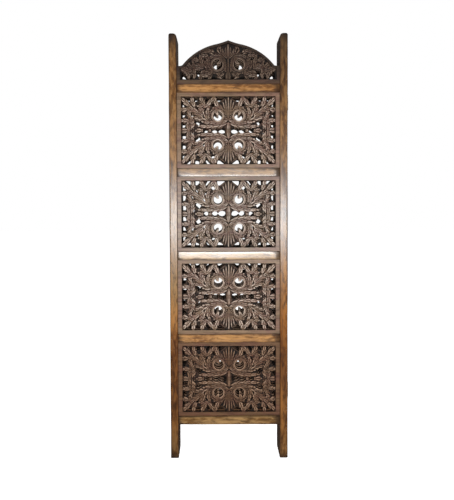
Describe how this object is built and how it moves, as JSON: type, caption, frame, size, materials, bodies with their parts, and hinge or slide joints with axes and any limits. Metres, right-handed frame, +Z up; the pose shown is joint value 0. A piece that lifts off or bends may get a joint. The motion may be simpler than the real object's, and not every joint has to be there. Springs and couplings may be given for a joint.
{
  "type": "folding screen",
  "caption": "Tall wooden folding screen of hinged leaves, each a frame of posts and rails that holds pierced and carved jali boards under a pierced arch.",
  "frame": {"origin": "on the floor, in the middle of the folded stack of leaves", "axes": "+X across the leaves, towards the side with two of the three hinge lines; +Y from the front leaf to the back one; +Z up"},
  "size_m": [0.5168, 0.109, 1.829],
  "materials": {
    "frame_wood": "honey brown stained hardwood with a semi-gloss lacquer, worn at the edges",
    "carved_wood": "grey-brown walnut stain, rubbed pale on the ridges and dark in the cuts",
    "hinge_metal": "aged dull brass"
  },
  "bodies": {
    "leaf_1": {"leaf_1_left_post": "frame_wood", "leaf_1_right_post": "frame_wood", "leaf_1_bottom_rail": "frame_wood", "leaf_1_lower_rail": "frame_wood", "leaf_1_middle_rail": "frame_wood", "leaf_1_upper_rail": "frame_wood", "leaf_1_top_rail": "frame_wood", "leaf_1_bottom_jali": "carved_wood", "leaf_1_lower_jali": "carved_wood", "leaf_1_upper_jali": "carved_wood", "leaf_1_top_jali": "carved_wood", "leaf_1_arch_jali": "carved_wood", "hinge_set_1_front_plates": "hinge_metal", "hinge_set_1_pins": "hinge_metal"},
    "leaf_2": {"leaf_2_left_post": "frame_wood", "leaf_2_right_post": "frame_wood", "leaf_2_bottom_rail": "frame_wood", "leaf_2_lower_rail": "frame_wood", "leaf_2_middle_rail": "frame_wood", "leaf_2_upper_rail": "frame_wood", "leaf_2_top_rail": "frame_wood", "leaf_2_bottom_jali": "carved_wood", "leaf_2_lower_jali": "carved_wood", "leaf_2_upper_jali": "carved_wood", "leaf_2_top_jali": "carved_wood", "leaf_2_arch_jali": "carved_wood", "hinge_set_1_back_plates": "hinge_metal", "hinge_set_2_front_plates": "hinge_metal", "hinge_set_2_pins": "hinge_metal"},
    "leaf_3": {"leaf_3_left_post": "frame_wood", "leaf_3_right_post": "frame_wood", "leaf_3_bottom_rail": "frame_wood", "leaf_3_lower_rail": "frame_wood", "leaf_3_middle_rail": "frame_wood", "leaf_3_upper_rail": "frame_wood", "leaf_3_top_rail": "frame_wood", "leaf_3_bottom_jali": "carved_wood", "leaf_3_lower_jali": "carved_wood", "leaf_3_upper_jali": "carved_wood", "leaf_3_top_jali": "carved_wood", "leaf_3_arch_jali": "carved_wood", "hinge_set_2_back_plates": "hinge_metal", "hinge_set_3_front_plates": "hinge_metal", "hinge_set_3_pins": "hinge_metal"},
    "leaf_4": {"leaf_4_left_post": "frame_wood", "leaf_4_right_post": "frame_wood", "leaf_4_bottom_rail": "frame_wood", "leaf_4_lower_rail": "frame_wood", "leaf_4_middle_rail": "frame_wood", "leaf_4_upper_rail": "frame_wood", "leaf_4_top_rail": "frame_wood", "leaf_4_bottom_jali": "carved_wood", "leaf_4_lower_jali": "carved_wood", "leaf_4_upper_jali": "carved_wood", "leaf_4_top_jali": "carved_wood", "leaf_4_arch_jali": "carved_wood", "hinge_set_3_back_plates": "hinge_metal"}
  },
  "joints": [
    {"name": "fold_1", "type": "hinge", "parent": "leaf_1", "child": "leaf_2", "pos_m": [0.2552, -0.028, 0], "axis": [0, 0, -1], "range_deg": [0, 180]},
    {"name": "fold_2", "type": "hinge", "parent": "leaf_2", "child": "leaf_3", "pos_m": [-0.2552, 0, 0], "axis": [0, 0, 1], "range_deg": [0, 180]},
    {"name": "fold_3", "type": "hinge", "parent": "leaf_3", "child": "leaf_4", "pos_m": [0.2552, 0.028, 0], "axis": [0, 0, -1], "range_deg": [0, 180]}
  ]
}
